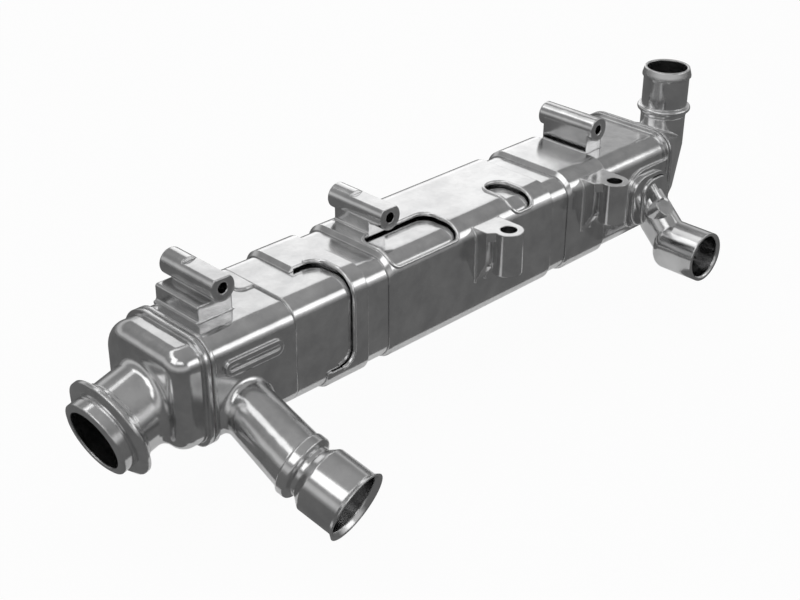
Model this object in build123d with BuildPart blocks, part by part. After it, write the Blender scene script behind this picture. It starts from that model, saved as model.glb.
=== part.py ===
"""Exhaust gas recirculation cooler for a heavy engine: a box-section shell-and-tube cooler in cast stainless steel.

Hot gas enters the clamp flange at the front, runs through flat finned tubes and leaves by the upright
pipe at the rear. Coolant enters and leaves by two ports on the near side.

Millimetres. +X runs from the gas inlet to the gas outlet, +Y to the far side and +Z up.
The origin lies on the bore axis of the middle bracket boss, halfway along the bore.
"""

from build123d import *
import os

os.makedirs("parts", exist_ok=True)

# Core: the cooler's box section and its centreline, measured from the origin
core_y = -10.0
core_z = -73.0
shell_width = 106.0
shell_height = 98.0
shell_radius = 20.0
shell_wall = 2.5
fit = 0.1

# Stations along X
rim_front = -230.5
housing_front_end = -136.5
front_band_start = -103.5
front_band_end = -56.5
middle_band_start = -30.0
middle_band_end = 188.5
rear_band_start = 214.0
rear_band_end = 273.0
rim_rear = 380.4

# Joint lines at both ends of the box: cap rim, header plate, housing rim
front_rim_thickness = 3.6
rear_rim_thickness = 2.4
front_rim_proud = 2.6
rear_rim_proud = 4.0
header_thickness = 2.2
header_inset = 1.4

# Jacket bands round the shell
band_top = 5.0
band_side = 2.8
band_gap_side = 1.2
band_gap_top = 2.4
band_land = 5.0
band_bevel = 3.6
band_edge = 0.9

# Arched cut-out in the front band, and the windows in the middle band
cut_far_edge = -7.0
arch_hoop_width = 17.0
arch_radius = 14.0
arch_low_edge = -30.0
window_low_edge = 41.6
window_first_start = -24.5
window_first_end = 60.5
window_second_start = 133.5
window_second_end = 162.5
window_radius = 13.0
window_low_radius = 8.0

# Cast housings
housing_wall = 4.8
housing_drop = 2.0
housing_far_radius = 30.0
lap_length = 8.0
saddle_pad_length = 15.0
saddle_pad_start = -0.5
saddle_pad_nose = 8.0

# Transverse bracket bosses, bored along Y; the middle one is on the origin
boss_radius = 11.9
boss_bore = 5.0
boss_length = 68.0
boss_flat = 9.0
boss_flat_length = 43.0
boss_front_x = -186.5
boss_rear_x = 293.5
foot_near_gap = 5.0
foot_far_gap = 7.0
block_left = 22.5
block_right = 12.0
block_top = 1.0
block_edge = 2.4
web_half_width = 10.0
web_near_gap = 17.0
web_fillet = 3.0
rear_foot_half_width = 12.0

# Upright bracket bosses, bored along Z
post_radius = 14.0
post_bore = 7.8
post_height = 42.0
post_reach = 77.0
post_top = 46.2
post_middle_x = 98.9
post_rear_x = 254.9
post_web_offset = 20.0
post_web_thickness = 13.0
post_web_reach = 68.5
post_web_low = 13.5
post_web_tip = -13.5
post_plate_thickness = 9.0
post_root = 44.0

# Gas inlet cap, its sloping neck and clamp flange
cap_depth = 26.5
cap_inset = 1.6
cap_edge = 15.0
cap_wall = 4.0
neck_slope = 15.0
neck_yaw = 2.5
flange_x = -288.2
flange_drop = 24.1
neck_margin = 13.5
neck_wall = 7.5
neck_depth = 12.4
neck_fillet = 9.0
neck_step = 1.6
neck_step_width = 4.0
flange_proud = 10.5
flange_root_proud = 5.0
flange_width = 10.0
flange_rim_width = 3.0
lip_inset = 0.7
lip_length = 12.0
lip_edge = 3.0

# Coolant inlet: a conical spout on the front housing and a formed connector
spout_x = -190.8
spout_drop = 25.0
spout_slope = 17.1
spout_yaw = -2.0
spout_length = 67.0
spout_root_radius = 24.0
spout_end_radius = 26.6
spout_bore = 20.5
spout_fillet = 7.0
spout_depth = 14.0
side_pad_start = -212.0
side_pad_end = -152.0
side_pad_low = 12.0
side_pad_high = 26.5
side_pad_proud = 2.6
side_pad_groove = 4.0
connector_slope = 19.0
connector_yaw = 11.0
bead_radius = 28.6
bead_length = 9.6
connector_neck_radius = 22.8
connector_neck_end = 16.0
connector_socket_radius = 29.2
connector_socket_start = 24.0
connector_lip_start = 57.0
connector_lip_radius = 32.0
connector_length = 61.0
connector_wall = 2.4

# Coolant outlet: a pad on the rear housing and an elbow on it
port_x = 352.0
port_drop = 20.0
pad_left = 310.0
pad_high = 27.4
pad_low = -34.0
pad_radius = 26.0
pad_proud = 3.0
collar_left = 332.6
collar_right = 371.4
collar_high = 16.5
collar_low = -38.0
collar_radius = 17.0
collar_proud = 3.6
port_bore = 15.5
elbow_slope = 45.0
elbow_tube_radius = 19.6
elbow_run = 47.0
outlet_back = 76.5
outlet_end = 128.5
outlet_radius = 26.0
outlet_bore = 21.5
outlet_back_edge = 10.0
outlet_chamfer = 1.6

# Gas outlet cap, a boot from the rim to an upright duct, and the hose pipe on it
boot_inset = 1.4
boot_middle_x = 421.0
boot_middle_rise = 12.0
boot_middle_tilt = 54.0
boot_middle_width = 82.0
boot_middle_height = 79.0
boot_middle_radius = 28.0
boot_wall = 3.0
duct_x = 440.5
duct_radius = 24.0
duct_top = 46.0
pipe_top = 97.8
pipe_radius = 24.4
pipe_wall = 3.0
pipe_bead_radius = 28.4
pipe_bead_rise = 7.0
pipe_bead_half = 3.0
barb_length = 9.0
barb_proud = 1.7
barb_land = 1.5
barb_top_inset = 0.4

# Tube bundle
tube_count = 7
tube_pitch = 11.5
tube_width = 76.0
tube_height = 8.0
tube_wall = 0.6
tube_stand = 2.0
fin_thickness = 0.4
fin_waves = 9
baffle_thickness = 1.6
baffle_count = 3
baffle_start = -40.0
baffle_pitch = 119.0

# Worked out from the sizes above
half_width = shell_width / 2
half_height = shell_height / 2
neck_radius = half_height - neck_margin
neck_bore = neck_radius - neck_wall
flange_radius = neck_radius + flange_proud
flange_root_radius = neck_radius + flange_root_proud
lip_radius = neck_radius - lip_inset
front_header_x = rim_front + front_rim_thickness
front_housing_x = front_header_x + header_thickness
rear_cap_x = rim_rear - rear_rim_thickness
rear_header_x = rear_cap_x - header_thickness
rear_housing_end = rear_header_x
shell_start = housing_front_end
shell_end = rear_band_end - band_land
bundle_z = -housing_drop / 2


def section_plane(x):
    """Cross-section at station x: local x runs to the far side and local y upwards, from the centreline."""
    return Plane(origin=(x, core_y, core_z), x_dir=(0, 1, 0), z_dir=(1, 0, 0))


def near_plane(proud=0.0):
    """The box's near side: local x is X and local y is the height above the centreline."""
    return Plane(origin=(0, core_y - half_width - proud, core_z), x_dir=(1, 0, 0), z_dir=(0, -1, 0))


def height_plane(rise):
    """Level plane this far above the centreline: local x is X and local y the distance to the far side."""
    return Plane(origin=(0, core_y, core_z + rise), x_dir=(1, 0, 0), z_dir=(0, 0, 1))


def sloped_direction(heading, yaw, slope):
    """Unit vector along a level heading, turned by yaw about Z and then down by the slope, in degrees."""
    level = Vector(*heading).rotate(Axis.Z, yaw)
    side = level.cross(Vector(0, 0, 1))
    return level.rotate(Axis((0, 0, 0), tuple(side)), -slope)


def axis_plane(origin, direction):
    """Plane through an axis of revolution: local y runs along the axis and local x is the radius."""
    radial = Vector(0, 0, 1).cross(direction).normalized()
    return Plane(origin=origin, x_dir=radial, z_dir=radial.cross(direction))


def box_section(side=0.0, top=0.0, far_radius=shell_radius, mode=Mode.ADD):
    """Rounded box profile whose sides and bottom, and whose top, lie this far outside the shell."""
    half = half_width + side
    upper = half_height + top
    lower = -half_height - side
    corner = shell_radius + side
    with BuildLine() as outline:
        FilletPolyline(
            (-half, lower),
            (half, lower),
            (half, upper),
            (-half, upper),
            radius=[corner, corner, far_radius + side, corner],
            close=True,
        )
    make_face(outline.edges(), mode=mode)


def housing_section(growth=0.0, mode=Mode.ADD):
    """Front housing profile: a little lower than the shell, with a rounder far corner."""
    box_section(growth, growth - housing_drop, housing_far_radius, mode)


def transverse_boss(x, flat=True):
    """Bracket boss round a bore along Y, with a flat on top of its near part."""
    with Locations((x, 0, 0)):
        Cylinder(boss_radius, boss_length, rotation=(90, 0, 0))
    if flat:
        flat_middle = (boss_flat_length - boss_length) / 2
        with Locations((x, flat_middle, boss_flat + boss_radius / 2)):
            Box(2 * boss_radius, boss_flat_length, boss_radius, mode=Mode.SUBTRACT)


def boss_hole(x):
    """The bore through a transverse boss, with a small chamfer at both mouths."""
    with Locations((x, 0, 0)):
        Cylinder(boss_bore, boss_length, rotation=(90, 0, 0), mode=Mode.SUBTRACT)


def flared_foot(x, left, right, near, far, base, top, flare, depth):
    """Foot under a transverse boss, whose two long sides flare out where they meet the surface below."""
    with BuildSketch(Plane(origin=(x, far, 0), x_dir=(1, 0, 0), z_dir=(0, -1, 0))) as foot:
        with BuildLine():
            Polyline(
                (right + flare, base),
                (right + flare, base - depth),
                (-left - flare, base - depth),
                (-left - flare, base),
            )
            CenterArc((-left - flare, base + flare), flare, -90, 90)
            Polyline((-left, base + flare), (-left, top), (right, top), (right, base + flare))
            CenterArc((right + flare, base + flare), flare, 180, 90)
        make_face()
    extrude(foot.sketch, amount=far - near)


def band_outside(start, end):
    """Outside of a band round the shell, with a bevelled front edge and a rounded rear one."""
    with BuildSketch(section_plane(start)) as front:
        box_section(fit + band_edge, fit + band_edge)
    with BuildSketch(section_plane(start + band_bevel)) as outside:
        box_section(band_side, band_top)
    loft([front.sketch, outside.sketch])
    extrude(outside.sketch, amount=end - start - band_bevel)
    fillet(faces().sort_by(Axis.X)[-1].edges(), band_edge)


def band_inside(start, end):
    """Hollow out a band: a tight land at its front edge, and behind it a wall that stands clear of the shell."""
    with BuildSketch(section_plane(start)) as land:
        box_section(fit, fit)
    extrude(land.sketch, amount=end - start, mode=Mode.SUBTRACT)
    with BuildSketch(section_plane(start + band_land)) as gap:
        box_section(band_gap_side, band_gap_top)
    extrude(gap.sketch, amount=end - start - band_land, mode=Mode.SUBTRACT)


def cutter(start, end, low_edge, radius, low_radius):
    """Block that cuts a window over the near top corner: rounded in plan and, lower down, in side view."""
    reach = half_width + 2 * band_side
    with BuildPart() as block:
        with BuildSketch(height_plane(low_edge)):
            with BuildLine():
                FilletPolyline(
                    (start, -reach),
                    (end, -reach),
                    (end, cut_far_edge),
                    (start, cut_far_edge),
                    radius=[0, 0, radius, radius],
                    close=True,
                )
            make_face()
        extrude(amount=half_height + 2 * band_top - low_edge)
        with BuildSketch(near_plane(2 * band_side)):
            with BuildLine():
                FilletPolyline(
                    (start, low_edge),
                    (end, low_edge),
                    (end, half_height + 2 * band_top),
                    (start, half_height + 2 * band_top),
                    radius=[low_radius, low_radius, 0, 0],
                    close=True,
                )
            make_face()
        extrude(amount=-2 * reach, mode=Mode.INTERSECT)
    return block.part


def upright_bracket(x):
    """Bracket with an upright boss: a plate level with the boss's top and a web that runs down to a tip."""
    with BuildSketch(height_plane(post_top)) as plate:
        with BuildLine():
            Polyline(
                (x - post_web_offset, -post_root),
                (x - post_web_offset, -post_web_reach),
                (x, -post_reach - post_radius / 2),
                (x + post_radius, -post_reach),
                (x + post_radius, -post_root),
                close=True,
            )
        make_face()
    extrude(plate.sketch, amount=-post_plate_thickness)
    web_plane = Plane(origin=(x - post_web_offset, core_y, core_z), x_dir=(0, 1, 0), z_dir=(1, 0, 0))
    with BuildSketch(web_plane) as web:
        with BuildLine():
            Polyline(
                (-post_root, post_top),
                (-post_web_reach, post_top),
                (-post_web_reach, post_web_low),
                (-half_width, post_web_tip),
                (-post_root, post_web_tip),
                close=True,
            )
        make_face()
    extrude(web.sketch, amount=post_web_thickness)
    with BuildSketch(height_plane(post_top)) as boss:
        with Locations((x, -post_reach)):
            Circle(post_radius)
    extrude(boss.sketch, amount=-post_height)


def upright_hole(x):
    """The bore through an upright boss."""
    with BuildSketch(height_plane(post_top)) as bore:
        with Locations((x, -post_reach)):
            Circle(post_bore)
    extrude(bore.sketch, amount=-post_height, mode=Mode.SUBTRACT)


# Core shell: one pressed and welded box tube, seen between the bands
with BuildPart() as core_shell:
    with BuildSketch(section_plane(shell_start)):
        box_section()
        box_section(-shell_wall, -shell_wall, mode=Mode.SUBTRACT)
    extrude(amount=shell_end - shell_start)
core_shell.part.label = "core_shell"
export_step(core_shell.part, "parts/core_shell.step")

# Front band: its near wall is cut away by an arch, which leaves a narrow hoop at the rear
with BuildPart() as front_band:
    band_outside(front_band_start, front_band_end)
    arch_end = front_band_end - arch_hoop_width
    arch_start = front_band_start - 2 * arch_radius
    add(cutter(arch_start, arch_end, arch_low_edge, arch_radius, arch_radius), mode=Mode.SUBTRACT)
    band_inside(front_band_start, front_band_end)
front_band.part.label = "front_band"
export_step(front_band.part, "parts/front_band.step")

# Middle band: two windows over the near top corner, the middle boss on its web and an upright boss
with BuildPart() as middle_band:
    band_outside(middle_band_start, middle_band_end)
    for window in ((window_first_start, window_first_end), (window_second_start, window_second_end)):
        add(cutter(*window, window_low_edge, window_radius, window_low_radius), mode=Mode.SUBTRACT)
    flared_foot(
        0,
        web_half_width,
        web_half_width,
        web_near_gap - boss_length / 2,
        boss_length / 2 - foot_far_gap,
        core_z + half_height + band_top,
        0,
        web_fillet,
        band_top - band_gap_top,
    )
    transverse_boss(0)
    boss_hole(0)
    upright_bracket(post_middle_x)
    band_inside(middle_band_start, middle_band_end)
    upright_hole(post_middle_x)
middle_band.part.label = "middle_band"
export_step(middle_band.part, "parts/middle_band.step")

# Rear band: covers the joint between the shell and the rear housing
with BuildPart() as rear_band:
    band_outside(rear_band_start, rear_band_end)
    upright_bracket(post_rear_x)
    band_inside(rear_band_start, rear_band_end)
    upright_hole(post_rear_x)
rear_band.part.label = "rear_band"
export_step(rear_band.part, "parts/rear_band.step")

# Front housing: cast box with a rim, the front boss on its block, the saddle pad, the side pad and the spout
spout_direction = sloped_direction((0, -1, 0), spout_yaw, spout_slope)
spout_root = Vector(spout_x, core_y - half_width, core_z - spout_drop)
connector_direction = sloped_direction((0, -1, 0), connector_yaw, connector_slope)
bead_center = spout_root + spout_direction * (spout_length + bead_length / 2)
connector_start = bead_center - connector_direction * (bead_length / 2)
housing_top = core_z + half_height - housing_drop
with BuildPart() as front_housing:
    with BuildSketch(section_plane(front_housing_x)):
        housing_section()
    extrude(amount=housing_front_end - front_housing_x)
    with BuildSketch(axis_plane(spout_root, spout_direction)):
        with BuildLine():
            Polyline(
                (0, -spout_depth),
                (spout_root_radius, -spout_depth),
                (spout_end_radius, spout_length + bead_length),
                (0, spout_length + bead_length),
                close=True,
            )
        make_face()
    revolve(axis=Axis(spout_root, spout_direction))
    fillet(edges().filter_by(GeomType.ELLIPSE) + edges().filter_by(GeomType.BSPLINE), spout_fillet)
    split(bisect_by=Plane(origin=connector_start, z_dir=connector_direction), keep=Keep.BOTTOM)
    with BuildSketch(section_plane(housing_front_end - saddle_pad_length)):
        box_section()
        with Locations((saddle_pad_start + half_width / 2, half_height / 2)):
            Rectangle(half_width, half_height, mode=Mode.INTERSECT)
    extrude(amount=saddle_pad_length)
    pad_nose = edges().filter_by(Axis.Z).filter_by_position(
        Axis.Y, core_y + saddle_pad_start - fit, core_y + saddle_pad_start + fit
    )
    fillet(pad_nose.sort_by(Axis.X)[0], saddle_pad_nose)
    flared_foot(
        boss_front_x,
        block_left,
        block_right,
        foot_near_gap - boss_length / 2,
        boss_length / 2 - foot_far_gap,
        housing_top,
        block_top - boss_radius,
        web_fillet,
        housing_wall / 2,
    )
    block_edges = edges().filter_by(Axis.Y).filter_by_position(
        Axis.Z, block_top - boss_radius - fit, block_top - boss_radius + fit
    )
    fillet(block_edges, block_edge)
    transverse_boss(boss_front_x)
    boss_hole(boss_front_x)
    with BuildSketch(near_plane()):
        with Locations(((side_pad_start + side_pad_end) / 2, (side_pad_low + side_pad_high) / 2)):
            RectangleRounded(
                side_pad_end - side_pad_start,
                side_pad_high - side_pad_low,
                (side_pad_high - side_pad_low) / 2 - fit,
            )
    extrude(amount=side_pad_proud)
    with BuildSketch(near_plane(side_pad_proud)):
        with Locations(((side_pad_start + side_pad_end) / 2, (side_pad_low + side_pad_high) / 2)):
            SlotOverall(side_pad_end - side_pad_start - 2 * side_pad_groove, side_pad_groove)
    extrude(amount=-side_pad_proud / 2, mode=Mode.SUBTRACT)
    with BuildSketch(section_plane(front_housing_x)):
        housing_section(front_rim_proud)
    extrude(amount=front_rim_thickness)
    with BuildSketch(section_plane(housing_front_end)):
        box_section(-shell_wall - fit, -shell_wall - fit)
    extrude(amount=lap_length)
    with BuildSketch(section_plane(front_housing_x)):
        housing_section(-housing_wall)
    extrude(amount=housing_front_end + lap_length - front_housing_x, mode=Mode.SUBTRACT)
    with BuildSketch(Plane(origin=spout_root, z_dir=spout_direction)):
        Circle(spout_bore)
    extrude(amount=spout_length + bead_length, mode=Mode.SUBTRACT)
    with BuildSketch(Plane(origin=spout_root, z_dir=spout_direction)):
        Circle(spout_bore)
    extrude(amount=-spout_depth, mode=Mode.SUBTRACT)
front_housing.part.label = "front_housing"
export_step(front_housing.part, "parts/front_housing.step")

# Coolant inlet connector: formed pipe end with a rolled bead, a neck and a flared socket
with BuildPart() as coolant_inlet_connector:
    bead_round = bead_length / 4
    with BuildSketch(axis_plane(connector_start, connector_direction)):
        with BuildLine():
            FilletPolyline(
                (connector_neck_radius - connector_wall, 0),
                (bead_radius, 0),
                (bead_radius, bead_length),
                (connector_neck_radius, bead_length + bead_round),
                (connector_neck_radius, connector_neck_end),
                (connector_socket_radius, connector_socket_start),
                (connector_socket_radius, connector_lip_start),
                (connector_lip_radius, connector_length),
                (connector_lip_radius - connector_wall, connector_length),
                (connector_socket_radius - connector_wall, connector_lip_start),
                (connector_socket_radius - connector_wall, connector_socket_start + connector_wall / 2),
                (connector_neck_radius - connector_wall, connector_neck_end + connector_wall / 2),
                radius=[0, bead_round, bead_round, 0, 0, bead_round, 0, 0, 0, 0, 0, 0],
                close=True,
            )
        make_face()
    revolve(axis=Axis(connector_start, connector_direction))
coolant_inlet_connector.part.label = "coolant_inlet_connector"
export_step(coolant_inlet_connector.part, "parts/coolant_inlet_connector.step")

# Gas inlet cap: cast box end, a sloping neck and the clamp flange with its lip
neck_direction = sloped_direction((-1, 0, 0), neck_yaw, neck_slope)
flange_center = Vector(flange_x, core_y, core_z - flange_drop)
neck_length = (rim_front - cap_depth - flange_x) / -neck_direction.X + neck_depth
neck_root = flange_center - neck_direction * neck_length
with BuildPart() as cap_cavity:
    with BuildSketch(section_plane(rim_front - cap_depth + cap_wall)):
        housing_section(-cap_inset - cap_wall)
    extrude(amount=cap_depth - cap_wall + front_rim_thickness)
    fillet(faces().sort_by(Axis.X)[0].edges(), cap_edge - cap_wall)
with BuildPart() as gas_inlet_cap:
    with BuildSketch(section_plane(rim_front - cap_depth)):
        housing_section(-cap_inset)
    extrude(amount=cap_depth)
    fillet(faces().sort_by(Axis.X)[0].edges(), cap_edge)
    with BuildSketch(Plane(origin=neck_root, z_dir=neck_direction)):
        Circle(neck_radius)
    extrude(amount=neck_length)
    neck_edges = edges().filter_by(lambda edge: edge.geom_type != GeomType.LINE).filter_by(
        lambda edge: abs((edge @ 0 - neck_root).cross(neck_direction).length - neck_radius) < fit
        and abs((edge @ 0.5 - neck_root).cross(neck_direction).length - neck_radius) < fit
        and abs((edge @ 0.5 - flange_center).dot(neck_direction)) > fit
    )
    fillet(neck_edges, neck_fillet)
    with BuildSketch(section_plane(rim_front)):
        housing_section(front_rim_proud)
    extrude(amount=front_rim_thickness)
    with BuildSketch(axis_plane(flange_center, neck_direction)):
        with BuildLine():
            Polyline(
                (neck_bore, -flange_width / 2 - neck_step_width),
                (neck_radius + neck_step, -flange_width / 2 - neck_step_width),
                (neck_radius + neck_step, -flange_width / 2),
                (flange_root_radius, -flange_width / 2),
                (flange_radius, -flange_rim_width / 2),
                (flange_radius, flange_rim_width / 2),
                (flange_root_radius, flange_width / 2),
                (lip_radius, flange_width / 2),
                (lip_radius, flange_width / 2 + lip_length - lip_edge / 2),
                (lip_radius - lip_edge, flange_width / 2 + lip_length),
                (neck_bore, flange_width / 2 + lip_length),
                close=True,
            )
        make_face()
    revolve(axis=Axis(flange_center, neck_direction))
    add(cap_cavity.part, mode=Mode.SUBTRACT)
    with BuildSketch(Plane(origin=flange_center, z_dir=neck_direction)):
        Circle(neck_bore)
    extrude(amount=flange_width / 2 + lip_length, mode=Mode.SUBTRACT)
    with BuildSketch(Plane(origin=flange_center, z_dir=neck_direction)):
        Circle(neck_bore)
    extrude(amount=-neck_length - cap_wall, mode=Mode.SUBTRACT)
gas_inlet_cap.part.label = "gas_inlet_cap"
export_step(gas_inlet_cap.part, "parts/gas_inlet_cap.step")

# Rear housing: cast box with a rim, the rear boss on its foot and the port pad
with BuildPart() as rear_housing:
    with BuildSketch(section_plane(shell_end)):
        box_section()
    extrude(amount=rear_housing_end - shell_end)
    flared_foot(
        boss_rear_x,
        rear_foot_half_width,
        rear_foot_half_width,
        foot_near_gap - boss_length / 2,
        boss_length / 2 - foot_far_gap,
        core_z + half_height,
        0,
        web_fillet,
        housing_wall / 2,
    )
    transverse_boss(boss_rear_x, flat=False)
    boss_hole(boss_rear_x)
    with BuildSketch(near_plane()):
        with BuildLine():
            FilletPolyline(
                (pad_left, pad_low),
                (rear_housing_end, pad_low),
                (rear_housing_end, pad_high),
                (pad_left, pad_high),
                radius=[pad_radius / 2, 0, 0, pad_radius],
                close=True,
            )
        make_face()
    extrude(amount=pad_proud)
    with BuildSketch(section_plane(rear_housing_end)):
        box_section(rear_rim_proud, rear_rim_proud)
    extrude(amount=-rear_rim_thickness)
    with BuildSketch(section_plane(shell_end)):
        box_section(-shell_wall - fit, -shell_wall - fit)
    extrude(amount=-lap_length)
    with BuildSketch(section_plane(shell_end - lap_length)):
        box_section(-housing_wall, -housing_wall)
    extrude(amount=rear_housing_end - shell_end + lap_length, mode=Mode.SUBTRACT)
    with BuildSketch(near_plane(pad_proud)):
        with Locations((port_x, -port_drop)):
            Circle(port_bore)
    extrude(amount=-pad_proud - housing_wall, mode=Mode.SUBTRACT)
rear_housing.part.label = "rear_housing"
export_step(rear_housing.part, "parts/rear_housing.step")

# Coolant outlet elbow: a collar on the port pad, a tube that slopes down and the wider outlet
elbow_root = Vector(port_x, core_y - half_width - pad_proud, core_z - port_drop)
elbow_direction = sloped_direction((0, -1, 0), 0, elbow_slope)
elbow_knee = elbow_root + elbow_direction * elbow_run
outlet_origin = Vector(port_x, core_y, elbow_knee.Z)
outlet_direction = Vector(0, -1, 0)
with BuildPart() as coolant_outlet_elbow:
    with BuildSketch(axis_plane(outlet_origin, outlet_direction)):
        with BuildLine():
            FilletPolyline(
                (0, outlet_back),
                (outlet_radius, outlet_back),
                (outlet_radius, outlet_end),
                (0, outlet_end),
                radius=[0, outlet_back_edge, 0, 0],
                close=True,
            )
        make_face()
    revolve(axis=Axis(outlet_origin, outlet_direction))
    with BuildSketch(Plane(origin=elbow_root - elbow_direction * elbow_tube_radius, z_dir=elbow_direction)):
        Circle(elbow_tube_radius)
    extrude(amount=elbow_run + elbow_tube_radius)
    with BuildSketch(near_plane(pad_proud)):
        with Locations(((collar_left + collar_right) / 2, (collar_low + collar_high) / 2)):
            RectangleRounded(collar_right - collar_left, collar_high - collar_low, collar_radius)
    extrude(amount=collar_proud)
    split(bisect_by=Plane(origin=elbow_root, z_dir=outlet_direction), keep=Keep.TOP)
    with BuildSketch(Plane(origin=elbow_root - elbow_direction * elbow_tube_radius, z_dir=elbow_direction)):
        Circle(port_bore)
    extrude(amount=elbow_run + elbow_tube_radius, mode=Mode.SUBTRACT)
    bore_back = outlet_back + outlet_radius - outlet_bore
    with BuildSketch(axis_plane(outlet_origin, outlet_direction)):
        with BuildLine():
            FilletPolyline(
                (0, bore_back),
                (outlet_bore, bore_back),
                (outlet_bore, outlet_end - outlet_chamfer),
                (outlet_bore + outlet_chamfer, outlet_end),
                (0, outlet_end),
                radius=[0, outlet_back_edge / 2, 0, 0, 0],
                close=True,
            )
        make_face()
    revolve(axis=Axis(outlet_origin, outlet_direction), mode=Mode.SUBTRACT)
coolant_outlet_elbow.part.label = "coolant_outlet_elbow"
export_step(coolant_outlet_elbow.part, "parts/coolant_outlet_elbow.step")

# Gas outlet cap: a cast boot from the rear rim to the upright duct
boot_planes = (
    section_plane(rim_rear),
    Plane(
        origin=(boot_middle_x, core_y, core_z + boot_middle_rise),
        x_dir=(0, 1, 0),
        z_dir=tuple(Vector(0, 0, 1).rotate(Axis.Y, boot_middle_tilt)),
    ),
    Plane(origin=(duct_x, core_y, core_z + duct_top), x_dir=(0, 1, 0), z_dir=(0, 0, 1)),
)


def boot_sections(inset):
    """The three sections of the boot, drawn smaller by the inset."""
    with BuildSketch(boot_planes[0]) as start:
        box_section(-boot_inset - inset, -boot_inset - inset)
    with BuildSketch(boot_planes[1]) as middle:
        RectangleRounded(
            boot_middle_width - 2 * inset,
            boot_middle_height - 2 * inset,
            boot_middle_radius - inset,
        )
    with BuildSketch(boot_planes[2]) as end:
        RectangleRounded(2 * (duct_radius - inset), 2 * (duct_radius - inset), duct_radius - inset - fit)
    return [start.sketch, middle.sketch, end.sketch]


with BuildPart() as gas_outlet_cap:
    loft(boot_sections(0))
    with BuildSketch(section_plane(rear_cap_x)):
        box_section(rear_rim_proud, rear_rim_proud)
    extrude(amount=rear_rim_thickness)
    loft(boot_sections(boot_wall), mode=Mode.SUBTRACT)
    with BuildSketch(section_plane(rear_cap_x)):
        box_section(-boot_inset - boot_wall, -boot_inset - boot_wall)
    extrude(amount=rear_rim_thickness, mode=Mode.SUBTRACT)
gas_outlet_cap.part.label = "gas_outlet_cap"
export_step(gas_outlet_cap.part, "parts/gas_outlet_cap.step")

# Hose pipe: turned upright pipe with a ring bead and a hose barb
with BuildPart() as hose_pipe:
    with BuildSketch(Plane(origin=(duct_x, core_y, core_z), x_dir=(1, 0, 0), z_dir=(0, -1, 0))):
        with BuildLine():
            bead_z = duct_top + pipe_bead_rise
            FilletPolyline(
                (pipe_radius - pipe_wall, duct_top),
                (pipe_radius, duct_top),
                (pipe_radius, bead_z - pipe_bead_half),
                (pipe_bead_radius, bead_z - pipe_bead_half),
                (pipe_bead_radius, bead_z + pipe_bead_half),
                (pipe_radius, bead_z + pipe_bead_half),
                (pipe_radius, pipe_top - barb_length - barb_proud),
                (pipe_radius + barb_proud, pipe_top - barb_length),
                (pipe_radius + barb_proud, pipe_top - barb_length + barb_land),
                (pipe_radius - barb_top_inset, pipe_top),
                (pipe_radius - pipe_wall, pipe_top),
                radius=[0, 0, 0, pipe_bead_half - fit, pipe_bead_half - fit, 0, 0, 0, 0, 0, 0],
                close=True,
            )
        make_face()
    revolve(axis=Axis((duct_x, core_y, core_z), (0, 0, 1)))
hose_pipe.part.label = "hose_pipe"
export_step(hose_pipe.part, "parts/hose_pipe.step")

# Tube bundle: where each flat tube lies in the section
tube_start = front_header_x - tube_stand
tube_end = rear_cap_x + tube_stand
tube_heights = [bundle_z + tube_pitch * (row - (tube_count - 1) / 2) for row in range(tube_count)]


def tube_slots(clearance):
    """The tubes' outlines in a plate, each larger by the clearance, drawn as cuts in a sketch."""
    for height in tube_heights:
        with Locations((0, height)):
            SlotOverall(tube_width + 2 * clearance, tube_height + 2 * clearance, mode=Mode.SUBTRACT)


# Header plates: hold the tube ends and part the gas from the coolant
with BuildPart() as front_header_plate:
    with BuildSketch(section_plane(front_header_x)):
        housing_section(front_rim_proud - header_inset)
        tube_slots(fit)
    extrude(amount=header_thickness)
front_header_plate.part.label = "front_header_plate"
export_step(front_header_plate.part, "parts/front_header_plate.step")

with BuildPart() as rear_header_plate:
    with BuildSketch(section_plane(rear_header_x)):
        box_section(rear_rim_proud - header_inset, rear_rim_proud - header_inset)
        tube_slots(fit)
    extrude(amount=header_thickness)
rear_header_plate.part.label = "rear_header_plate"
export_step(rear_header_plate.part, "parts/rear_header_plate.step")

# Gas tubes and the folded fin inside each
fin_half_height = tube_height / 2 - tube_wall - fit
fin_pitch = (tube_width - tube_height - 2 * tube_wall) / (2 * fin_waves)
for row, height in enumerate(tube_heights, start=1):
    with BuildPart() as gas_tube:
        with BuildSketch(section_plane(tube_start)):
            with Locations((0, height)):
                SlotOverall(tube_width, tube_height)
                SlotOverall(tube_width - 2 * tube_wall, tube_height - 2 * tube_wall, mode=Mode.SUBTRACT)
        extrude(amount=tube_end - tube_start)
    gas_tube.part.label = f"gas_tube_{row}"
    export_step(gas_tube.part, f"parts/gas_tube_{row}.step")

    with BuildPart() as fin:
        with BuildSketch(section_plane(front_header_x)):
            with BuildLine() as fold:
                folds = []
                for step in range(2 * fin_waves):
                    side = 1 if step % 2 else -1
                    left = (step - fin_waves) * fin_pitch
                    level = height + side * (fin_half_height - fin_thickness / 2)
                    folds.append((left + fin_thickness / 2, level))
                    folds.append((left + fin_pitch - fin_thickness / 2, level))
                Polyline(*folds)
            trace(line_width=fin_thickness)
        extrude(amount=rear_cap_x - front_header_x)
    fin.part.label = f"fin_{row}"
    export_step(fin.part, f"parts/fin_{row}.step")

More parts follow.
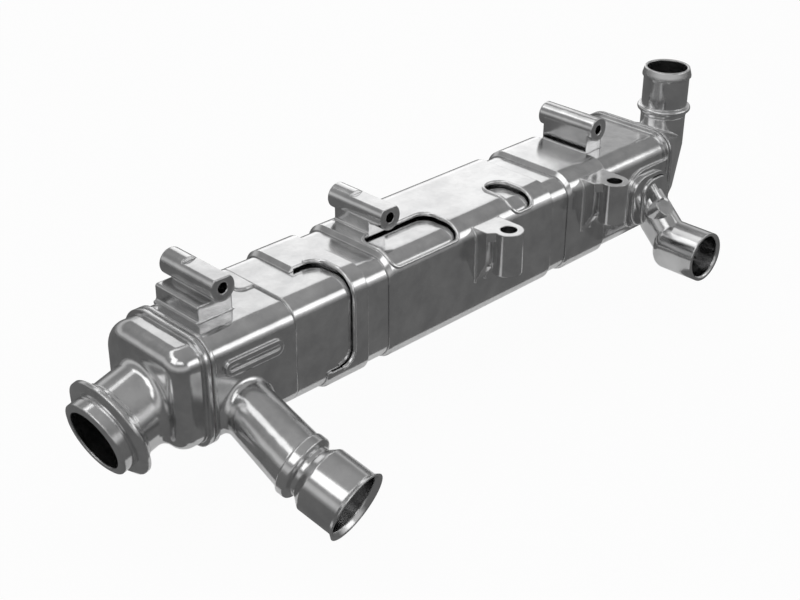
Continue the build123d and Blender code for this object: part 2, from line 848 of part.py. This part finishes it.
# Baffles: plates round the tubes, open in turn at the top and at the bottom for the coolant
for number in range(1, baffle_count + 1):
    station = baffle_start + (number - 1) * baffle_pitch
    side = 1 if number % 2 else -1
    outer_rows = tube_heights[-2:] if number % 2 else tube_heights[:2]
    window_edge = sum(outer_rows) / 2
    with BuildPart() as baffle:
        with BuildSketch(section_plane(station)):
            box_section(-shell_wall - 2 * fit, -shell_wall - 2 * fit)
            tube_slots(fit)
            with Locations((0, window_edge + side * half_height)):
                Rectangle(shell_width, shell_height, mode=Mode.SUBTRACT)
        extrude(amount=baffle_thickness)
    baffle.part.label = f"baffle_{number}"
    export_step(baffle.part, f"parts/baffle_{number}.step")
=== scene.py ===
import math

import bmesh
import bpy
from mathutils import Euler, Matrix, Vector


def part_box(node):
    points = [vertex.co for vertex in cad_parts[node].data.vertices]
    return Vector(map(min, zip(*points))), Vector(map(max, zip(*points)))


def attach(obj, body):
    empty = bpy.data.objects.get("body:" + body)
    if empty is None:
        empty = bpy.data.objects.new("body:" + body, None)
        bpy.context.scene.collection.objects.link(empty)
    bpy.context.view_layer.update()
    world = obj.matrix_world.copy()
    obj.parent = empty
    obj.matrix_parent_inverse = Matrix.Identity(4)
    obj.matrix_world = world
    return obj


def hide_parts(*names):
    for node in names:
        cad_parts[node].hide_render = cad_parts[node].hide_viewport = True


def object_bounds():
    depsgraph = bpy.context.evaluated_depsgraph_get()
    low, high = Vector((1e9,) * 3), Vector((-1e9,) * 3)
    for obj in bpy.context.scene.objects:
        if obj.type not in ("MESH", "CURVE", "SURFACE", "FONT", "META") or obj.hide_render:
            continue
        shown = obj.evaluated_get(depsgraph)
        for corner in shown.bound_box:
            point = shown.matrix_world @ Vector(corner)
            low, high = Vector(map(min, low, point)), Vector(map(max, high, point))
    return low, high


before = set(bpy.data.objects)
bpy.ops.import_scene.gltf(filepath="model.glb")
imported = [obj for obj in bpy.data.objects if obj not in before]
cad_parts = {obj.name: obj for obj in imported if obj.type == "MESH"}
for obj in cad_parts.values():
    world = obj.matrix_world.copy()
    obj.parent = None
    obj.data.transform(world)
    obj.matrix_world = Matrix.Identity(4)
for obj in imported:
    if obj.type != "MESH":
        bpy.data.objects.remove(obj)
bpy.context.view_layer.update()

# Tube bundle: seven flat gas tubes of thin stainless strip, each with a folded fin brazed inside. Three baffles
# and a slotted header plate at each end hold them apart. It was brazed in a furnace, which left it dull.

bevel_rays = 6
wave_depth, skin_depth = 0.0012, 0.0003


def noise(tree, place, scale, detail, roughness=0.5):
    """The strength of a noise in the piece's own coordinates."""
    cloud = tree.nodes.new("ShaderNodeTexNoise")
    cloud.inputs["Scale"].default_value = scale
    cloud.inputs["Detail"].default_value = detail
    cloud.inputs["Roughness"].default_value = roughness
    tree.links.new(place.outputs["Object"], cloud.inputs["Vector"])
    return cloud.outputs["Fac"]


def bumped(tree, before, height, strength, depth):
    """The surface's direction after bumps of a height were added to the one before."""
    bump = tree.nodes.new("ShaderNodeBump")
    bump.inputs["Strength"].default_value = strength
    bump.inputs["Distance"].default_value = depth
    tree.links.new(height, bump.inputs["Height"])
    tree.links.new(before, bump.inputs["Normal"])
    return bump.outputs["Normal"]


def steel(name, tone, rough, mottle=0.06, skin=0.0, edge=0.002, wave=0.12):
    """Steel with a faintly uneven polish, softly broken edges and, where it was cast, a fine skin."""
    material = bpy.data.materials.new(name)
    material.use_nodes = True
    tree = material.node_tree
    shader = tree.nodes["Principled BSDF"]
    shader.inputs["Metallic"].default_value = 1.0
    place = tree.nodes.new("ShaderNodeTexCoord")
    clouds = noise(tree, place, scale=40.0, detail=7.0, roughness=0.62)
    colors = tree.nodes.new("ShaderNodeValToRGB")
    dark, light = colors.color_ramp.elements
    dark.position, light.position = 0.36, 0.64
    dark.color = (tone - mottle, tone - mottle, tone - mottle * 0.95, 1)
    light.color = (tone + mottle, tone + mottle, tone + mottle, 1)
    tree.links.new(clouds, colors.inputs["Fac"])
    tree.links.new(colors.outputs["Color"], shader.inputs["Base Color"])
    wear = tree.nodes.new("ShaderNodeMapRange")
    wear.inputs["To Min"].default_value = rough * 0.7
    wear.inputs["To Max"].default_value = rough * 1.5
    tree.links.new(clouds, wear.inputs["Value"])
    tree.links.new(wear.outputs["Result"], shader.inputs["Roughness"])
    broken = tree.nodes.new("ShaderNodeBevel")
    broken.samples = bevel_rays
    broken.inputs["Radius"].default_value = edge
    swell = noise(tree, place, scale=38.0, detail=1.5)
    surface = bumped(tree, broken.outputs["Normal"], swell, wave, wave_depth)
    if skin:
        grain = noise(tree, place, scale=900.0, detail=3.0)
        surface = bumped(tree, surface, grain, skin, skin_depth)
    tree.links.new(surface, shader.inputs["Normal"])
    return material


def coat(piece, material):
    """Put one finish on a piece."""
    piece.data.materials.clear()
    piece.data.materials.append(material)


brazed = steel("brazed_steel", 0.62, 0.4, skin=0.3)
for row in range(1, 8):
    coat(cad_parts[f"gas_tube_{row}"], brazed)
    coat(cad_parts[f"fin_{row}"], brazed)
for number in range(1, 4):
    coat(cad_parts[f"baffle_{number}"], brazed)
coat(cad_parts["front_header_plate"], brazed)
coat(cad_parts["rear_header_plate"], brazed)

# Core shell: a box tube pressed from stainless sheet, welded along its far side and polished before the
# jacket bands were slid over it.

crease = math.radians(32)
touching = 1e-6


def cad_surface(node):
    """A node's own surface, with its doubled points merged."""
    surface = bmesh.new()
    surface.from_mesh(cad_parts[node].data)
    bmesh.ops.remove_doubles(surface, verts=surface.verts, dist=touching)
    return surface


def smooth_rounds(surface):
    """Shade a surface smoothly over its rounds, and crisply at its creases."""
    for face in surface.faces:
        face.smooth = True
    for edge in surface.edges:
        edge.smooth = edge.calc_face_angle(0.0) < crease


def piece_of(name, surface):
    """A piece with the modelled surface, which is used up."""
    mesh = bpy.data.meshes.new(name)
    surface.to_mesh(mesh)
    surface.free()
    piece = bpy.data.objects.new(name, mesh)
    bpy.context.scene.collection.objects.link(piece)
    return piece


def even_out(piece):
    """Let a piece's large faces set the shading of the narrow ones beside them."""
    weigh = piece.modifiers.new("even", "WEIGHTED_NORMAL")
    weigh.keep_sharp = True
    weigh.weight = 50


def polished(node, material):
    """The node's own surface, smooth over its rounds, in its finish."""
    surface = cad_surface(node)
    bmesh.ops.dissolve_degenerate(surface, edges=surface.edges, dist=touching)
    smooth_rounds(surface)
    piece = piece_of(f"{node}_surface", surface)
    even_out(piece)
    coat(piece, material)
    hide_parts(node)
    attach(piece, "root")
    return piece


sheet_steel = steel("sheet_steel", 0.69, 0.14, mottle=0.07)
polished("core_shell", sheet_steel)

# Jacket bands: three pressed bands round the shell, with arches and windows cut out of them, and the brackets
# for the bolts welded on. The edges of the openings are rolled over, and the lips' lighter tone is a painted
# highlight.

band_steel = steel("band_steel", 0.69, 0.14, mottle=0.07, edge=0.0012)
# The rims' lighter tone is a painted highlight. It stands in for the light that the rolled edges catch.
rim_steel_painted_highlight = steel("rim_steel_painted_highlight", 0.78, 0.14, mottle=0.04, wave=0.03)
shell_low, shell_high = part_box("core_shell")
corner_reach = 0.020
corner_top = 0.005
square_on, slanted, turned_near = 0.7, 0.5, 0.3
end_land = 0.004
band_depth = 0.0035
rims_stop_y = -0.012
sharp = math.radians(50)
shortest_rim = 0.04
rim_thickness = 0.0018


def on_outside(edge):
    """Whether an edge of a band lies on its outside, round a cut or at the foot of a bracket."""
    place = (edge.verts[0].co + edge.verts[1].co) / 2
    normals = [face.normal for face in edge.link_faces]
    beside = place.y < shell_low.y + corner_reach
    above = place.z > shell_high.z - corner_reach
    if beside and above:
        topmost = place.z > shell_high.z - corner_top
        outward = [normal for normal in normals if normal.z - normal.y > slanted]
        return any(topmost or normal.y < -turned_near for normal in outward)
    if above:
        return any(normal.z > square_on for normal in normals)
    return beside and any(normal.y < -square_on for normal in normals)


def rim_edges(node, surface, rise):
    """The edges that a band's near rims follow, no higher than the rise above the shell."""
    start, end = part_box(node)
    found = []
    for edge in surface.edges:
        points = [vert.co for vert in edge.verts]
        inside = all(start.x + end_land < point.x < end.x - end_land for point in points)
        near = all(shell_low.y - band_depth < point.y < rims_stop_y for point in points)
        low_enough = all(point.z < shell_high.z + rise for point in points)
        crisp = edge.calc_face_angle(0.0) > sharp
        if inside and near and low_enough and crisp and on_outside(edge):
            found.append(edge)
    return found


def joined(edges):
    """The edges joined end to end into lines of points, always in the same order."""
    left = list(edges)
    lines = []
    while left:
        line = list(left.pop().verts)
        for tip in (-1, 0):
            while onward := [edge for edge in line[tip].link_edges if edge in left]:
                left.remove(onward[0])
                beyond = onward[0].other_vert(line[tip])
                line.insert(0 if tip == 0 else len(line), beyond)
        lines.append([vert.co.copy() for vert in line])
    return lines


def length_of(points):
    """How long a line of points is."""
    return sum((start - end).length for start, end in zip(points, points[1:]))


def round_bar(name, points):
    """A thin round bar along a line of points."""
    line = bpy.data.curves.new(name, "CURVE")
    line.dimensions = "3D"
    line.bevel_depth = rim_thickness
    line.bevel_resolution = 3
    line.use_fill_caps = True
    run = line.splines.new("POLY")
    run.points.add(len(points) - 1)
    for stop, point in zip(run.points, points):
        stop.co = (*point, 1)
    drawn = bpy.data.objects.new("rim_line", line)
    bpy.context.scene.collection.objects.link(drawn)
    bpy.context.view_layer.update()
    mesh = bpy.data.meshes.new_from_object(drawn)
    bpy.data.objects.remove(drawn)
    for face in mesh.polygons:
        face.use_smooth = True
    bar = bpy.data.objects.new(name, mesh)
    bpy.context.scene.collection.objects.link(bar)
    return bar


def rolled_rims(node, rise):
    """Half-round lips along a band's near openings, and beads at the foot of its upright bracket."""
    surface = cad_surface(node)
    lines = joined(rim_edges(node, surface, rise))
    surface.free()
    rims = [line for line in lines if length_of(line) >= shortest_rim]
    for count, line in enumerate(rims, start=1):
        lip = round_bar(f"{node}_rim_{count}", line)
        coat(lip, rim_steel_painted_highlight)
        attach(lip, "root")


for band, rise in (("front_band", 0.0095), ("middle_band", 0.0055), ("rear_band", 0.0055)):
    polished(band, band_steel)
    rolled_rims(band, rise)

# Housings and caps: investment castings in stainless steel, polished all over, with raised rims where they
# are brazed to the header plates.

cast_steel = steel("cast_steel", 0.66, 0.13, mottle=0.065, skin=0.1, edge=0.0022, wave=0.35)
for casting in ("front_housing", "gas_inlet_cap", "rear_housing", "coolant_outlet_elbow"):
    polished(casting, cast_steel)

# Bleed boss: a small round boss with a shallow recess, cast on the elbow's root to take a vent plug. It points
# up and outwards, and a thin cast web joins it to the rear housing's pad.

elbow_root = Vector((0.352, -0.066, -0.093))
down_elbow = Vector((0, -1, -1)).normalized()
up_boss = Vector((0, -1, 1)).normalized()
boss_beside, boss_along = -0.008, 0.0083
boss_place = Matrix.Translation(elbow_root + down_elbow * boss_along + Vector((boss_beside, 0, 0)))
boss_place @= Matrix((Vector((1, 0, 0)), -down_elbow, up_boss)).transposed().to_4x4()
boss_radius, boss_height, boss_wall = 0.0107, 0.024, 0.0015
web_wide, web_long, web_high = 0.009, 0.04, 0.026
web_middle = Vector((0, 0.0265, 0.0125))
pad_y = -0.0615
hair = 1e-5


def rounded(shape, edges, radius, segments):
    """Round some edges of a shape."""
    bmesh.ops.bevel(
        shape,
        geom=edges,
        offset=radius,
        segments=segments,
        profile=0.5,
        affect="EDGES",
        material=-1,
    )


def edges_past(shape, axis, level, way=1):
    """The shape's edges that lie past a level on an axis, or before it where the way is -1."""
    return [edge for edge in shape.edges if all(vert.co[axis] * way > level * way for vert in edge.verts)]


def upright_round(radius, low_z, high_z, middle=(0, 0), segments=64):
    """A round bar along the z axis, between two heights."""
    shape = bmesh.new()
    bmesh.ops.create_cone(
        shape,
        cap_ends=True,
        segments=segments,
        radius1=radius,
        radius2=radius,
        depth=high_z - low_z,
    )
    bmesh.ops.translate(shape, verts=shape.verts, vec=(*middle, (low_z + high_z) / 2))
    return shape


def block(size, middle):
    """A block about its middle."""
    shape = bmesh.new()
    bmesh.ops.create_cube(shape, size=1.0)
    bmesh.ops.scale(shape, verts=shape.verts, vec=size)
    bmesh.ops.translate(shape, verts=shape.verts, vec=middle)
    return shape


def finish(name, shape, material):
    """Make a piece of the modelled shape, smooth over its rounds, and give it its finish."""
    bmesh.ops.recalc_face_normals(shape, faces=shape.faces)
    smooth_rounds(shape)
    piece = piece_of(name, shape)
    coat(piece, material)
    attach(piece, "root")
    return piece


boss = upright_round(boss_radius, 0, boss_height, segments=48)
boss_top = [face for face in boss.faces if face.normal.z > square_on]
bmesh.ops.inset_region(boss, faces=boss_top, thickness=boss_wall)
bmesh.ops.translate(boss, verts=boss_top[0].verts, vec=(0, 0, -boss_wall))
rounded(boss, edges_past(boss, 2, boss_height - hair), radius=0.0005, segments=2)
bmesh.ops.transform(boss, matrix=boss_place, verts=boss.verts)
finish("bleed_boss", boss, cast_steel)

web = block((web_wide, web_long, web_high), web_middle)
rounded(web, edges_past(web, 2, web_middle.z + web_high / 2 - hair), radius=0.003, segments=4)
bmesh.ops.transform(web, matrix=boss_place, verts=web.verts)
bmesh.ops.bisect_plane(
    web,
    geom=web.verts[:] + web.edges[:] + web.faces[:],
    plane_co=(0, pad_y, 0),
    plane_no=(0, 1, 0),
    clear_outer=True,
)
bmesh.ops.holes_fill(web, edges=[edge for edge in web.edges if edge.is_boundary])
finish("bleed_web", web, cast_steel)

# Elbow collar: two flat steps with well rounded corners, cast round the elbow's root. They lie on the rear
# housing's pad, and the elbow's tube runs through both.


def fused(blank, steps):
    """The blank after its joins and cuts, as a mesh to finish. The blank and the tools are used up."""
    for other, step in steps:
        joint = blank.modifiers.new(step, "BOOLEAN")
        joint.operation = step
        joint.object = other
        joint.solver = "EXACT"
    shape = bmesh.new()
    shape.from_object(blank, bpy.context.evaluated_depsgraph_get())
    for other, _ in steps:
        bpy.data.objects.remove(other)
    bpy.data.objects.remove(blank)
    bmesh.ops.remove_doubles(shape, verts=shape.verts, dist=2 * touching)
    return shape


passage_radius, passage_long = 0.0185, 0.08
down_passage = down_elbow.to_track_quat("Z", "Y").to_matrix().to_4x4()
for name, left, right, bottom, top, corner, back, front in (
    ("elbow_collar", 0.3148, 0.3714, -0.1070, -0.0515, 0.0195, -0.0655, -0.0696),
    ("elbow_step", 0.3290, 0.3714, -0.1110, -0.0575, 0.0165, -0.0690, -0.0720),
):
    size = (right - left, back - front, top - bottom)
    plate = block(size, ((left + right) / 2, (back + front) / 2, (top + bottom) / 2))
    corners = [edge for edge in plate.edges if edge.verts[0].co.y != edge.verts[1].co.y]
    rounded(plate, corners, radius=corner, segments=14)
    rounded(plate, edges_past(plate, 1, front + hair, way=-1), radius=0.0012, segments=3)
    passage = upright_round(passage_radius, -passage_long / 2, passage_long / 2)
    bmesh.ops.transform(passage, matrix=Matrix.Translation(elbow_root) @ down_passage, verts=passage.verts)
    collar = fused(piece_of("collar_blank", plate), [(piece_of("collar_passage", passage), "DIFFERENCE")])
    finish(name, collar, cast_steel)

# Gas outlet cap: a thin-walled cast boot, from a flange at the rear housing to the upright duct, under a
# sloping top. Its far end narrows downwards. It is brazed to the rear header plate.

cap_x, rim_x, duct_x = 0.378, 0.3804, 0.4405
middle_y, middle_z = -0.010, -0.073
half_wide, half_high = 0.053, 0.049
flange_margin, flange_corner = 0.004, 0.024
body_margin, body_corner = -0.0014, 0.0186
duct_radius, flue_radius, wall = 0.024, 0.021, 0.003
duct_foot, duct_top = 0.011, 0.046
flue_foot, flue_top = 0.001, 0.051
top_edge, top_slope = 0.0476, math.radians(19)
bottom_rounds = (0.0396, 0.0062), (0.0453, 0.0086), (0.0476, 0.0142)
top_rounds = (0.006, 0.0), (0.0018, 0.0018), (0.0, 0.006)
lap = 0.001


def ring(shape, place, radius, across="Z"):
    """A ring of points for a hull, about the given axis."""
    turn = Matrix.Rotation(math.radians(90), 4, "Y") if across == "X" else Matrix.Identity(4)
    spot = Matrix.Translation(place) @ turn
    return bmesh.ops.create_circle(shape, segments=64, radius=radius, matrix=spot)["verts"]


def box_rings(shape, x, margin, corner):
    """The four corner rings of a box section, drawn larger than the shell by the margin."""
    for side in (-1, 1):
        for end in (-1, 1):
            y = middle_y + side * (half_wide + margin - corner)
            z = middle_z + end * (half_high + margin - corner)
            ring(shape, (x, y, z), corner, "X")


def skinned(shape):
    """Stretch a skin over the rings and drop the points inside it."""
    hull = bmesh.ops.convex_hull(shape, input=shape.verts, use_existing_faces=False)
    left_over = set(hull["geom_interior"] + hull["geom_unused"])
    spare = [vert for vert in shape.verts if vert in left_over]
    bmesh.ops.delete(shape, geom=spare, context="VERTS")
    bmesh.ops.dissolve_degenerate(shape, edges=shape.edges, dist=touching)
    bmesh.ops.recalc_face_normals(shape, faces=shape.faces)


def tank(inset, start):
    """The boot without its duct, drawn smaller by the inset."""
    shape = bmesh.new()
    box_rings(shape, start, body_margin - inset, body_corner - inset)
    wide = duct_radius - inset
    ring(shape, (duct_x, middle_y, middle_z + duct_foot), wide)
    for drop, draw in bottom_rounds:
        ring(shape, (duct_x, middle_y, middle_z - drop + inset), wide - draw)
    for drop, draw in top_rounds:
        for vert in ring(shape, (duct_x, middle_y, 0), wide - draw):
            fall = (vert.co.x - rim_x) * math.tan(top_slope)
            vert.co.z = middle_z + top_edge - inset - drop - fall
    skinned(shape)
    return shape


flange = bmesh.new()
box_rings(flange, cap_x, flange_margin, flange_corner)
box_rings(flange, rim_x, flange_margin, flange_corner)
skinned(flange)
duct_place = (duct_x, middle_y)
duct = upright_round(duct_radius, middle_z + duct_foot, middle_z + duct_top, duct_place)
flue = upright_round(flue_radius, middle_z + flue_foot, middle_z + flue_top, duct_place)
boot = piece_of("boot", tank(0.0, rim_x - lap))
steps = (
    (piece_of("boot_flange", flange), "UNION"),
    (piece_of("boot_duct", duct), "UNION"),
    (piece_of("boot_hollow", tank(wall, cap_x - wall)), "DIFFERENCE"),
    (piece_of("boot_flue", flue), "DIFFERENCE"),
)
cast = fused(boot, steps)
outlet_boot = finish("gas_outlet_boot", cast, cast_steel)
even_out(outlet_boot)
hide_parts("gas_outlet_cap")

# Pipe ends: the coolant inlet's connector is formed from tube, and the upright hose pipe is turned. Both
# are brazed on.

turned_steel = steel("turned_steel", 0.67, 0.15, wave=0.05)
for pipe in ("coolant_inlet_connector", "hose_pipe"):
    polished(pipe, turned_steel)

# Studio: a white floor, walls that are brighter near the horizon, soft boxes, and dark cards that lie round
# the part and show only in its polished steel. The camera sees white behind it all.

scene = bpy.context.scene
scene.view_settings.view_transform = "Standard"

floor_drop, floor_half, card_lift = 0.03, 30.0, 0.002
floor_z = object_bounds()[0].z - floor_drop
seen_white, mirrored_white = 0.95, 0.25


def sheet(name, x_low, x_high, y_low, y_high, z):
    """A flat sheet that lies on the floor."""
    shape = bmesh.new()
    bmesh.ops.create_grid(shape, x_segments=1, y_segments=1, size=0.5)
    bmesh.ops.scale(shape, verts=shape.verts, vec=(x_high - x_low, y_high - y_low, 1))
    bmesh.ops.translate(shape, verts=shape.verts, vec=((x_low + x_high) / 2, (y_low + y_high) / 2, z))
    return piece_of(name, shape)


def share_of(tree, ray, amount):
    """An amount for the rays of one kind, and nothing for the others."""
    rays = tree.nodes.new("ShaderNodeLightPath")
    times = tree.nodes.new("ShaderNodeMath")
    times.operation = "MULTIPLY"
    times.inputs[1].default_value = amount
    tree.links.new(rays.outputs[ray], times.inputs[0])
    return times.outputs["Value"]


paper = bpy.data.materials.new("floor_paper")
paper.use_nodes = True
paper_tree = paper.node_tree
paper_links = paper_tree.links
matt = paper_tree.nodes["Principled BSDF"]
matt.inputs["Base Color"].default_value = (0.95, 0.95, 0.95, 1)
matt.inputs["Roughness"].default_value = 0.9
matt.inputs["Specular IOR Level"].default_value = 0.0
white = paper_tree.nodes.new("ShaderNodeEmission")
either = paper_tree.nodes.new("ShaderNodeMath")
either.operation = "MAXIMUM"
paper_links.new(share_of(paper_tree, "Is Camera Ray", seen_white), either.inputs[0])
paper_links.new(share_of(paper_tree, "Is Glossy Ray", mirrored_white), either.inputs[1])
paper_mix = paper_tree.nodes.new("ShaderNodeMixShader")
paper_links.new(either.outputs["Value"], paper_mix.inputs["Fac"])
paper_links.new(matt.outputs["BSDF"], paper_mix.inputs[1])
paper_links.new(white.outputs["Emission"], paper_mix.inputs[2])
paper_links.new(paper_mix.outputs["Shader"], paper_tree.nodes["Material Output"].inputs["Surface"])
floor = sheet("floor", -floor_half, floor_half, -floor_half, floor_half, floor_z)
coat(floor, paper)

sky = bpy.data.worlds.new("studio_sky")
scene.world = sky
sky.use_nodes = True
sky_nodes, sky_links = sky.node_tree.nodes, sky.node_tree.links
toward = sky_nodes.new("ShaderNodeTexCoord")
axes = sky_nodes.new("ShaderNodeSeparateXYZ")
sky_links.new(toward.outputs["Generated"], axes.inputs["Vector"])
walls = sky_nodes.new("ShaderNodeValToRGB")
walls.color_ramp.interpolation = "EASE"
for height, level in ((0.04, 0.26), (0.2, 0.62), (0.32, 0.6), (0.5, 0.28), (0.95, 0.38)):
    stop = walls.color_ramp.elements.new(height)
    stop.color = (level, level, level, 1)
walls.color_ramp.elements.remove(walls.color_ramp.elements[0])
walls.color_ramp.elements.remove(walls.color_ramp.elements[-1])
sky_links.new(axes.outputs["Z"], walls.inputs["Fac"])
backdrop = sky_nodes.new("ShaderNodeMix")
backdrop.data_type = "RGBA"
backdrop.inputs["B"].default_value = (1, 1, 1, 1)
looked = sky_nodes.new("ShaderNodeLightPath")
sky_links.new(looked.outputs["Is Camera Ray"], backdrop.inputs["Factor"])
sky_links.new(walls.outputs["Color"], backdrop.inputs["A"])
sky_links.new(backdrop.outputs["Result"], sky_nodes["Background"].inputs["Color"])
sky_nodes["Background"].inputs["Strength"].default_value = 1.0

card_black = bpy.data.materials.new("card_black")
card_black.use_nodes = True
card_nodes, card_links = card_black.node_tree.nodes, card_black.node_tree.links
card_glow = card_nodes.new("ShaderNodeEmission")
card_glow.inputs["Color"].default_value = (0.15, 0.15, 0.15, 1)
card_links.new(card_glow.outputs["Emission"], card_nodes["Material Output"].inputs["Surface"])


def card(name, x_low, x_high, y_low, y_high):
    """A dark card on the floor that shows only in the reflections."""
    piece = sheet(name, x_low, x_high, y_low, y_high, floor_z + card_lift)
    coat(piece, card_black)
    piece.visible_camera = False
    piece.visible_diffuse = False
    piece.visible_shadow = False
    piece.visible_transmission = False


clear = 0.032
reach = 12.0
front_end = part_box("front_housing")[0].x - clear
rear_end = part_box("rear_housing")[1].x + clear
near_edge, far_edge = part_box("core_shell")[0].y - clear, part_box("core_shell")[1].y + clear
card("card_front", front_end - reach, front_end, near_edge, far_edge)
card("card_rear", rear_end, rear_end + reach, near_edge, far_edge)
card("card_near", front_end - reach, rear_end + reach, near_edge - reach, near_edge)
card("card_far", front_end - reach, rear_end + reach, far_edge, far_edge + reach)


def soft_box(name, turn, rise, distance, width, height, level, shows=True):
    """A soft box that faces the part, by its compass turn, its rise and the brightness of its cloth."""
    light = bpy.data.lights.new(name, "AREA")
    light.shape = "RECTANGLE"
    light.size = width
    light.size_y = height
    light.energy = level * math.pi * width * height
    piece = bpy.data.objects.new(name, light)
    around, upward = math.radians(turn), math.radians(rise)
    across = distance * math.cos(upward)
    piece.location = (across * math.cos(around), across * math.sin(around), distance * math.sin(upward))
    piece.rotation_euler = (-piece.location).to_track_quat("-Z", "Y").to_euler()
    piece.visible_glossy = shows
    scene.collection.objects.link(piece)


soft_box("box_back", 49, 19, 2.5, 1.25, 1.8, 0.76)
soft_box("box_near", -54, 22, 2.5, 1.9, 0.75, 1.15)
soft_box("box_front", -168, 47, 2.4, 1.25, 1.25, 1.35)
soft_box("box_corner", -124, 42, 2.4, 1.4, 0.55, 1.2)
soft_box("box_high", 76, 58, 2.5, 1.7, 0.5, 0.75)
soft_box("box_left", 136, 58, 2.5, 1.8, 0.7, 1.05)
soft_box("box_top", -60, 78, 2.5, 1.2, 1.2, 0.4, shows=False)

# Camera: stands off the near front corner and above the part, as the photo's does. Its place, aim and lens
# come from a fit to the photo's box edges and upright bosses.

look_down, heading, roll = math.radians(28.8), math.radians(45.02), math.radians(0.32)
lens = bpy.data.cameras.new("camera")
lens.sensor_width = 36.0
lens.lens = 63.68
camera = bpy.data.objects.new("camera", lens)
aim = Euler((math.radians(90) - look_down, 0, heading - math.radians(90))).to_matrix()
camera.location = (-0.7872, -0.8346, 0.5348)
camera.rotation_euler = (aim @ Matrix.Rotation(roll, 3, "Z")).to_euler()
scene.collection.objects.link(camera)
scene.camera = camera
